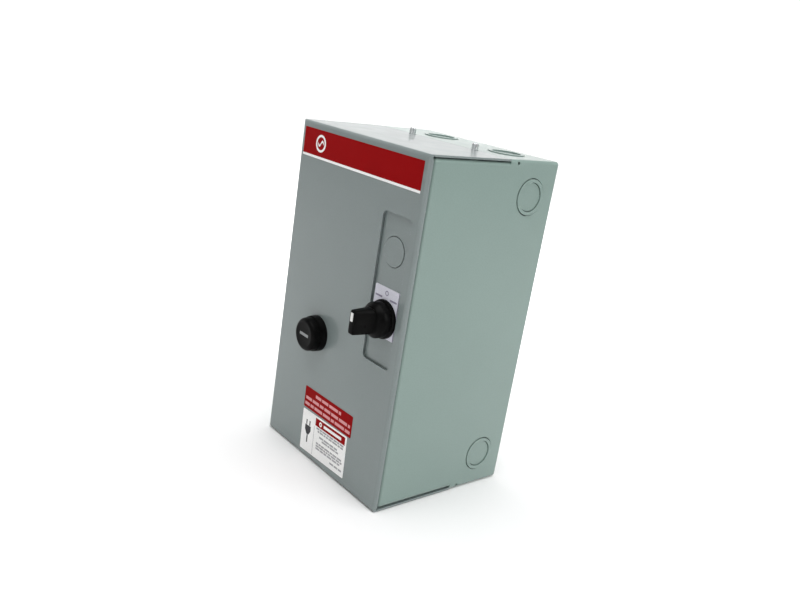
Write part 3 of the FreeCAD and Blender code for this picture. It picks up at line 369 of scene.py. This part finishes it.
FINISHES = {
    "cover_paint": enamel("cover_enamel", (0.190, 0.226, 0.223)),
    "base_paint": enamel("base_enamel", (0.206, 0.283, 0.257)),
    "bright_zinc": plated("zinc_plating", (0.78, 0.79, 0.80)),
    "red_film": vinyl("red_vinyl", (0.27, 0.002, 0.003), 0.5, 0.03),
    "white_film": vinyl("white_vinyl", (0.88, 0.88, 0.87)),
    "legend_white": vinyl("legend_laminate", (0.62, 0.62, 0.69), 0.3),
    "white_insert": moulded("white_insert", (0.78, 0.78, 0.76)),
    "black_plastic": moulded("black_plastic", (0.003, 0.003, 0.003), 0.32, specular=0.05),
    "grey_plastic": moulded("grey_plastic", (0.40, 0.40, 0.38)),
    "dark_plastic": moulded("dark_plastic", (0.045, 0.047, 0.052)),
    "white_nylon": moulded("white_nylon", (0.72, 0.71, 0.66), 0.35),
    "green_plastic": moulded("green_plastic", (0.03, 0.27, 0.08)),
    "blue_plastic": moulded("blue_plastic", (0.03, 0.10, 0.42)),
    "red_plastic": moulded("red_plastic", (0.48, 0.02, 0.02)),
    "copper": wound_wire("copper_windings", (0.60, 0.26, 0.12)),
    "brass": bare_metal("brass", (0.72, 0.52, 0.24)),
    "aluminium": bare_metal("aluminium", (0.74, 0.75, 0.76), 0.35),
    "wire_jacket": jacket("wire_jacket", (0.012, 0.012, 0.013)),
}
INK_BLACK = vinyl("black_ink", (0.03, 0.03, 0.035), 0.45)
INK_GREY = vinyl("grey_ink", (0.33, 0.33, 0.34), 0.45)
# violet ink of the legend print, also used for the painted shadow line down the legend plate's edge
VIOLET_INK_AND_EDGE_SHADOW = vinyl("violet_ink_and_edge_shadow", (0.24, 0.22, 0.30), 0.45)
INK_PALE_RED = vinyl("pale_red_ink", (0.66, 0.30, 0.31), 0.45, 0.1)
INK_DIM = vinyl("worn_white_ink", (0.26, 0.27, 0.27), 0.45)


def finish_cad_nodes():
    """Gives every CAD node the finish of its material slot."""
    for part in frame["record"]["subparts"]:
        for slot in NODES[part["node"]].material_slots:
            slot.material = FINISHES[part["material_slot"]]


# ---- Mesh making -------------------------------------------------------------------------------

def middle_of(node):
    """Middle of a CAD node's box."""
    low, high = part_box(node)
    return (low + high) / 2


def add_piece(name, shape, slot, body, material=None, smooth=35, replaces=()):
    """Turns a bmesh into a piece that rides on a CAD body."""
    bmesh.ops.recalc_face_normals(shape, faces=shape.faces)
    mesh = bpy.data.meshes.new(name)
    shape.to_mesh(mesh)
    shape.free()
    mesh.materials.append(material or FINISHES[slot])
    mesh.shade_smooth()
    mesh.set_sharp_from_angle(angle=math.radians(smooth))
    piece = bpy.data.objects.new(name, mesh)
    bpy.context.scene.collection.objects.link(piece)
    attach(piece, body)
    if replaces:
        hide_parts(*replaces)
    return piece


def bridge(shape, first, second):
    """Quads between two closed rings of the same number of vertices."""
    count = len(first)
    for i in range(count):
        j = (i + 1) % count
        shape.faces.new((first[i], first[j], second[j], second[i]))


def loft(shape, rings):
    """Closed skin through rings of points, capped at both ends."""
    made = [[shape.verts.new(point) for point in ring] for ring in rings]
    for first, second in zip(made, made[1:]):
        bridge(shape, first, second)
    shape.faces.new(made[0])
    shape.faces.new(made[-1])


def circle(x, y, z, radius, count=96):
    """Ring of points about an axis along Y."""
    angles = [2 * math.pi * i / count for i in range(count)]
    return [Vector((x + radius * math.cos(a), y, z + radius * math.sin(a))) for a in angles]


def superellipse(x, y, z, half_x, half_z, power, count=96):
    """Ring between an ellipse, at power 2, and a rectangle, at a high power."""
    ring = []
    for i in range(count):
        angle = 2 * math.pi * i / count
        cosine, sine = math.cos(angle), math.sin(angle)
        dx = half_x * math.copysign(abs(cosine) ** (2 / power), cosine)
        dz = half_z * math.copysign(abs(sine) ** (2 / power), sine)
        ring.append(Vector((x + dx, y, z + dz)))
    return ring


def tube(shape, points, radius, sides=12):
    """Round wire along a list of points."""
    rings = []
    side = Vector((0, 0, 1))
    for i, point in enumerate(points):
        ahead = points[min(i + 1, len(points) - 1)] - points[max(i - 1, 0)]
        ahead.normalize()
        side = (side - ahead * side.dot(ahead)).normalized()
        other = ahead.cross(side)
        angles = [2 * math.pi * k / sides for k in range(sides)]
        rings.append([point + (side * math.cos(a) + other * math.sin(a)) * radius for a in angles])
    loft(shape, rings)


def prism(shape, outline, y_front, y_back):
    """Flat-fronted solid from an outline of (x, z) points."""
    loft(shape, [[Vector((x, y, z)) for x, z in outline] for y in (y_front, y_back)])


# ---- Printed graphics --------------------------------------------------------------------------

class Print:
    """Graphics on a flat node that faces the front, in millimetres from the node's centre."""

    def __init__(self, node, tilt=0.0):
        low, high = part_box(node)
        self.centre = (low + high) / 2
        self.front = low.y
        self.tilt = tilt
        self.shape = bmesh.new()

    def at(self, right, up):
        """Place in metres, as (x, z), of a point given from the node's centre."""
        right, up = right * MM, up * MM
        x = self.centre.x + right * math.cos(self.tilt) - up * math.sin(self.tilt)
        z = self.centre.z + right * math.sin(self.tilt) + up * math.cos(self.tilt)
        return x, z

    def area(self, outline, lift=1):
        """Fills an outline; lift counts the layers of ink under it."""
        back = self.front + INK * MM * (1 - lift)
        front = self.front - INK * MM * lift
        prism(self.shape, [self.at(*point) for point in outline], front, back)

    def bar(self, left, right, low, high, lift=1):
        """Upright rectangle."""
        self.area([(left, low), (right, low), (right, high), (left, high)], lift)

    def ring(self, right, up, outer, inner, lift=1):
        """Round band between two radii."""
        count = 48
        back = self.front + INK * MM * (1 - lift)
        front = self.front - INK * MM * lift
        loops = []
        for radius, y in ((outer, back), (outer, front), (inner, front), (inner, back)):
            angles = [2 * math.pi * i / count for i in range(count)]
            points = [self.at(right + radius * math.cos(a), up + radius * math.sin(a)) for a in angles]
            loops.append([self.shape.verts.new((x, y, z)) for x, z in points])
        for first, second in zip(loops, loops[1:] + loops[:1]):
            bridge(self.shape, first, second)

    def words(self, draw, left, right, low, high):
        """A line of plain bars as long as words, with nothing to read."""
        height = high - low
        cursor = left
        while cursor < right - height:
            end = min(right, cursor + height * draw.uniform(1.5, 5.0))
            self.bar(cursor, end, low, high)
            cursor = end + height * 0.5

    def finish(self, name, slot, body, material=None):
        """Makes the piece from all that was drawn."""
        return add_piece(name, self.shape, slot, body, material)


def band_symbol():
    """Plain ring with one sine wave in it, the general sign for alternating current."""
    low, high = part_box("header_band")
    ink = Print("header_band")
    right = (low.x - ink.centre.x) / MM + BAND_SYMBOL_FROM_LEFT
    radius = BAND_SYMBOL_RADIUS
    ink.ring(right, 0, radius, radius - BAND_SYMBOL_LINE)
    half_width, swing = radius * 0.55, radius * 0.27
    upper, lower = [], []
    for i in range(WAVE_STEPS + 1):
        along = -half_width + 2 * half_width * i / WAVE_STEPS
        wave = swing * math.sin(math.pi * along / half_width)
        upper.append((right + along, wave + WAVE_HALF_LINE))
        lower.append((right + along, wave - WAVE_HALF_LINE))
    ink.area(lower + upper[::-1])
    ink.finish("band_symbol", "white_film", "cover")


def notice_print():
    """Three rows of plain bars on the red label."""
    ink = Print("notice_label", NOTICE_TILT)
    draw = random.Random(11)
    half = NOTICE_WIDTH / 2
    for inset, up in NOTICE_ROWS:
        ink.words(draw, inset - half, half - inset, up, up + NOTICE_ROW_HEIGHT)
    ink.finish("notice_print", "white_film", "cover", INK_PALE_RED)


def hazard_print():
    """Red header, column line, icon of a plug and grey rows of plain bars on the white label."""
    half_width, half_height = HAZARD_SIZE[0] / 2, HAZARD_SIZE[1] / 2
    column = -half_width + ICON_COLUMN
    header_low, header_high = [half_height - depth for depth in HEADER_HEIGHTS]

    header = Print("hazard_label", HAZARD_TILT)
    header.bar(column + 1.0, half_width - 2.0, header_low, header_high)
    header.finish("hazard_header", "red_film", "cover")

    white = Print("hazard_label", HAZARD_TILT)
    middle = (header_low + header_high) / 2
    white.ring(column + 8.0, middle, 1.9, 0.8, lift=2)
    white.bar(column + 12.5, half_width - 7.0, middle - 1.2, middle + 1.2, lift=2)
    white.finish("hazard_header_print", "white_film", "cover")

    grey = Print("hazard_label", HAZARD_TILT)
    draw = random.Random(7)
    grey.bar(column - 0.2, column + 0.2, -half_height + 1.0, half_height - 9.0)
    for inset_left, inset_right, up in HAZARD_ROWS:
        grey.words(draw, column + inset_left, half_width - inset_right, up, up + HAZARD_ROW_HEIGHT)
    grey.finish("hazard_rows", "white_film", "cover", INK_GREY)

    icon = Print("hazard_label", HAZARD_TILT)
    centre = (-half_width + column) / 2
    for sign in (-1, 1):
        icon.bar(centre + sign * 2.2 - 0.7, centre + sign * 2.2 + 0.7, 5.6, 9.8)
    body = (
        (-4.0, 5.2),
        (-4.0, 1.0),
        (-1.4, -2.6),
        (1.4, -2.6),
        (4.0, 1.0),
        (4.0, 5.2),
    )
    icon.area([(centre + across, up) for across, up in body])
    icon.bar(centre - 0.7, centre + 0.7, -9.6, -2.9)
    icon.finish("plug_icon", "white_film", "cover", INK_BLACK)


def legend_print():
    """Ring over the middle position, a bar over each outer one, and a painted shadow line down the right
    edge.
    """
    ink = Print("legend_plate")
    up = (middle_of("selector_bezel").z - ink.centre.z) / MM
    ring_up, ring_outer, ring_inner = LEGEND_RING
    ink.ring(0, up + ring_up, ring_outer, ring_inner)
    bar_low, bar_high = LEGEND_BAR_HEIGHTS
    for left, right in LEGEND_BARS:
        ink.bar(left, right, up + bar_low, up + bar_high)
    half_width, half_height = LEGEND_SIZE[0] / 2, LEGEND_SIZE[1] / 2
    # Dark line down the right edge: painted shadow of the plate's edge, drawn in the violet ink
    ink.bar(half_width - PAINTED_EDGE_SHADOW, half_width, -half_height, half_height)
    ink.finish("legend_marks_and_edge_shadow", "legend_white", "cover", VIOLET_INK_AND_EDGE_SHADOW)


# ---- Selector and push button ------------------------------------------------------------------

def selector_grip():
    """Knob: a deep round skirt, coned at its front, that runs into a tapered grip."""
    low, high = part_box("selector_knob")
    axis = middle_of("selector_bezel")
    x, z = axis.x, axis.z
    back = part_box("selector_bezel")[0].y - KNOB_GAP * MM
    hub = KNOB_HUB * MM
    rings = [circle(x, high.y, z, hub), circle(x, back, z, hub)]
    for radius, forward in SKIRT_PROFILE:
        rings.append(circle(x, back - forward * MM, z, radius * MM))
    top = back - SKIRT * MM
    rings.append(superellipse(x, top - 0.02 * MM, z, 6.6 * MM, 9.4 * MM, 3.0))
    length = top - low.y
    for share in GRIP_SHARES:
        fillet = math.exp(-share * 12) * 1.3 * MM
        half_x = (5.0 - 2.0 * share) * MM + fillet
        half_z = (9.6 - 0.8 * share) * MM + fillet * 0.1
        rings.append(superellipse(x, top - length * share, z, half_x, half_z, 3.5 + 3 * share))
    roll = GRIP_ROLL * MM
    front_x, front_z = [half * MM for half in GRIP_FRONT_HALF]
    for angle in (20, 45, 70, 90):
        lean = math.radians(angle)
        inset = roll * (1 - math.cos(lean))
        y = low.y + roll * (1 - math.sin(lean))
        rings.append(superellipse(x, y, z, front_x - inset, front_z - inset, 6.5))
    shape = bmesh.new()
    loft(shape, rings)
    add_piece("selector_grip", shape, "black_plastic", "selector", smooth=40, replaces=("selector_knob",))


def push_button():
    """Cap with a rolled edge and a slightly dished face, on its stem."""
    low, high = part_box("reset_button")
    x, z = (low.x + high.x) / 2, (low.z + high.z) / 2
    face = low.y
    cap, stem = (high.x - low.x) / 2, STEM_RADIUS * MM
    skirt_back = face + CAP_DEPTH * MM
    rings = [circle(x, high.y, z, stem), circle(x, skirt_back, z, stem), circle(x, skirt_back, z, cap)]
    roll = CAP_ROLL * MM
    for angle in range(0, 91, 15):
        lean = math.radians(angle)
        rings.append(circle(x, face + roll * (1 - math.sin(lean)), z, cap - roll * (1 - math.cos(lean))))
    for share, sink in DISH_PROFILE:
        rings.append(circle(x, face + sink * MM, z, cap * share))
    shape = bmesh.new()
    loft(shape, rings)
    add_piece("push_button", shape, "black_plastic", "reset_push_button", replaces=("reset_button",))


def button_mark():
    """Worn plain bar on the dished face of the cap."""
    ink = Print("reset_mark")
    ink.front += BUTTON_DISH * MM
    half_width, half_height = BUTTON_BAR
    ink.bar(-half_width, half_width, -half_height, half_height)
    piece = ink.finish("button_print", "white_film", "reset_push_button", INK_DIM)
    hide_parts("reset_mark")


# ---- Springs -----------------------------------------------------------------------------------

def spring_shape(shape, x, z, y_start, y_end, radius, wire, turns):
    """Compression spring about an axis along Y, with a closed turn at each end."""
    steps = 24
    total = turns + 2
    points = []
    for i in range(total * steps + 1):
        turn = i / steps
        rise = min(max((turn - 1) / turns, 0.0), 1.0)
        settle = wire * 1.05
        along = settle * min(turn, 1.0) + settle * max(turn - turns - 1, 0.0)
        free = abs(y_end - y_start) - 2 * settle - 2 * wire
        y = y_start + math.copysign(wire + along + free * rise, y_end - y_start)
        angle = 2 * math.pi * turn
        points.append(Vector((x + radius * math.cos(angle), y, z + radius * math.sin(angle))))
    tube(shape, points, wire, sides=8)


def reset_spring():
    """Spring under the push button's cap, coiled at the length of its CAD node; the real one shortens as
    the button is pressed.
    """
    low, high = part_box("reset_spring")
    x, z = (low.x + high.x) / 2, (low.z + high.z) / 2
    wire = RESET_WIRE * MM
    shape = bmesh.new()
    spring_shape(shape, x, z, low.y, high.y, (high.x - low.x) / 2 - wire, wire, RESET_TURNS)
    spring = add_piece("reset_spring_coil", shape, "bright_zinc", "cover", replaces=("reset_spring",))
    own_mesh(spring)


def return_springs():
    """Two springs that push the contact carrier back out."""
    low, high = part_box("return_springs")
    x = (low.x + high.x) / 2
    wire = RETURN_WIRE * MM
    radius = (high.x - low.x) / 2 - wire
    shape = bmesh.new()
    for z in (low.z + radius + wire, high.z - radius - wire):
        spring_shape(shape, x, z, low.y, high.y, radius, wire, RETURN_TURNS)
    springs = add_piece(
        "return_spring_coils", shape, "bright_zinc", "enclosure", replaces=("return_springs",)
    )
    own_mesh(springs)


# ---- Details on the contactor and the overload relay -------------------------------------------

def raised_block(shape, left, right, low, high, front, rise):
    """Block on a face that looks to the front, chamfered round its own front."""
    inset = 0.4 * rise
    rings = []
    for y, shrink in ((front + 0.1 * MM, 0.0), (front - rise + inset, 0.0), (front - rise, inset)):
        x0, x1, z0, z1 = left + shrink, right - shrink, low + shrink, high - shrink
        rings.append([Vector(point) for point in ((x0, y, z0), (x1, y, z0), (x1, y, z1), (x0, y, z1))])
    loft(shape, rings)


def contactor_ribs():
    """Cooling ribs over each pole, between the carrier's window and the upper terminals."""
    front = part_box("contactor_housing")[0].y
    middle = middle_of("contactor_housing")
    shape = bmesh.new()
    for pole in (-1, 0, 1):
        x = middle.x + pole * POLE_PITCH * MM
        for row in range(RIB_COUNT):
            bottom = middle.z + (FIRST_RIB + row * RIB_PITCH) * MM
            half = 0.42 * POLE_PITCH * MM
            raised_block(shape, x - half, x + half, bottom, bottom + RIB_HEIGHT * MM, front, RIB_RISE * MM)
    add_piece("contactor_ribs", shape, "grey_plastic", "enclosure")


def contactor_plate():
    """Plain data plate on the contactor, with rows of bars."""
    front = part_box("contactor_housing")[0].y
    middle = middle_of("contactor_housing")
    plate = bmesh.new()
    bottom, top = PLATE_HEIGHTS
    left, right = middle.x - PLATE_HALF_WIDTH * MM, middle.x + PLATE_HALF_WIDTH * MM
    raised_block(plate, left, right, middle.z + bottom * MM, middle.z + top * MM, front, PLATE_RISE * MM)
    add_piece("contactor_plate", plate, "white_film", "enclosure")
    ink = Print("contactor_housing")
    ink.front -= PLATE_RISE * MM
    draw = random.Random(17)
    row_end = PLATE_HALF_WIDTH - PLATE_MARGIN
    for row in range(PLATE_ROWS):
        up = top - PLATE_ROW_PITCH - row * PLATE_ROW_PITCH
        ink.words(draw, -row_end, row_end - 4.0 * (row % 2), up, up + 1.3)
    ink.finish("contactor_plate_print", "white_film", "enclosure", INK_BLACK)


def relay_scale():
    """Tick marks round the setting dial, and an index mark on the dial itself."""
    ink = Print("overload_housing")
    dial = middle_of("current_dial")
    base = Vector(((dial.x - ink.centre.x) / MM, (dial.z - ink.centre.z) / MM))
    inner, short, long = TICK_RADII
    for i in range(TICKS):
        angle = math.radians(-DIAL_SWEEP + 2 * DIAL_SWEEP * i / (TICKS - 1))
        outer = long if i % 2 == 0 else short
        across = Vector((math.cos(angle), -math.sin(angle))) * TICK_HALF_WIDTH
        along = Vector((math.sin(angle), math.cos(angle)))
        start, end = along * inner, along * outer
        corners = (start - across, end - across, end + across, start + across)
        ink.area([tuple(base + corner) for corner in corners])
    ink.finish("relay_scale", "white_film", "enclosure")
    index = Print("current_dial")
    index.bar(-0.4, 0.4, 4.6, 5.5)
    index.finish("dial_index", "white_film", "setting_dial")


# ---- Stage, light and camera -------------------------------------------------------------------

def make_stage():
    """Pale floor that curves up into a round wall, so that no horizon shows."""
    floor_z = cad_box[0].z
    profile = [(0.02, 0.0), (FLOOR_RADIUS, 0.0)]
    for angle in range(10, 91, 10):
        lean = math.radians(angle)
        profile.append((FLOOR_RADIUS + COVE_RADIUS * math.sin(lean), COVE_RADIUS * (1 - math.cos(lean))))
    profile.append((FLOOR_RADIUS + COVE_RADIUS, WALL_TOP))
    count = 96
    shape = bmesh.new()
    rings = []
    for radius, height in profile:
        angles = [2 * math.pi * i / count for i in range(count)]
        ring = [(radius * math.cos(a), radius * math.sin(a), floor_z + height) for a in angles]
        rings.append([shape.verts.new(point) for point in ring])
    for first, second in zip(rings, rings[1:]):
        bridge(shape, first, second)
    shape.faces.new(rings[0])
    bmesh.ops.recalc_face_normals(shape, faces=shape.faces)
    mesh = bpy.data.meshes.new("studio_floor")
    shape.to_mesh(mesh)
    shape.free()
    mesh.shade_smooth()
    finish = Finish("floor_paper", (0.91, 0.91, 0.91), 0.7)
    finish.mottle(0.4, 0.01)
    mesh.materials.append(finish.material)
    floor = bpy.data.objects.new("studio_floor", mesh)
    bpy.context.scene.collection.objects.link(floor)


def direction(azimuth, elevation):
    """Unit vector; azimuth is in degrees from the front, towards +X."""
    a, e = math.radians(azimuth), math.radians(elevation)
    return Vector((math.sin(a) * math.cos(e), -math.cos(a) * math.cos(e), math.sin(e)))


def softbox(name, azimuth, elevation, distance, size, power, target=None):
    """Square area light aimed at the middle of the object, or at another target."""
    centre = (cad_box[0] + cad_box[1]) / 2
    place = centre + direction(azimuth, elevation) * distance
    light = bpy.data.lights.new(name, "AREA")
    light.size = size
    light.energy = power
    lamp = bpy.data.objects.new(name, light)
    lamp.location = place
    lamp.rotation_mode = "QUATERNION"
    lamp.rotation_quaternion = ((target or centre) - place).to_track_quat("-Z", "Y")
    bpy.context.scene.collection.objects.link(lamp)


def make_light():
    """Soft lights from above, from the right and in front, and one for the wall behind."""
    world = bpy.data.worlds.new("studio_world")
    world.use_nodes = True
    sky = world.node_tree.nodes["Background"]
    sky.inputs["Color"].default_value = (1.0, 1.0, 1.0, 1.0)
    sky.inputs["Strength"].default_value = 0.12
    bpy.context.scene.world = world
    for values in SOFTBOXES:
        softbox(*values)
    backdrop = direction(BACKDROP_AZIMUTH, BACKDROP_ELEVATION) * (FLOOR_RADIUS + COVE_RADIUS)
    softbox(*BACKDROP_SOFTBOX, target=backdrop)
    bpy.context.scene.view_settings.view_transform = "Standard"


def make_camera():
    """Camera of the main view, turned a little about its own line of sight."""
    azimuth, elevation = CAMERA_AZIMUTH, CAMERA_ELEVATION
    forward = Vector((
        -math.sin(azimuth) * math.cos(elevation),
        math.cos(azimuth) * math.cos(elevation),
        -math.sin(elevation),
    ))
    data = bpy.data.cameras.new("photo_camera")
    data.lens = CAMERA_LENS
    data.sensor_width = 36.0
    data.clip_start = 0.05
    data.clip_end = 20.0
    camera = bpy.data.objects.new("photo_camera", data)
    camera.location = CAMERA_PLACE
    camera.rotation_mode = "QUATERNION"
    camera.rotation_quaternion = forward.to_track_quat("-Z", "Y") @ Quaternion((0, 0, 1), CAMERA_ROLL)
    bpy.context.scene.collection.objects.link(camera)
    bpy.context.scene.camera = camera


make_camera()
make_stage()
make_light()
finish_cad_nodes()
band_symbol()
notice_print()
hazard_print()
legend_print()
selector_grip()
push_button()
button_mark()
reset_spring()
return_springs()
contactor_ribs()
contactor_plate()
relay_scale()
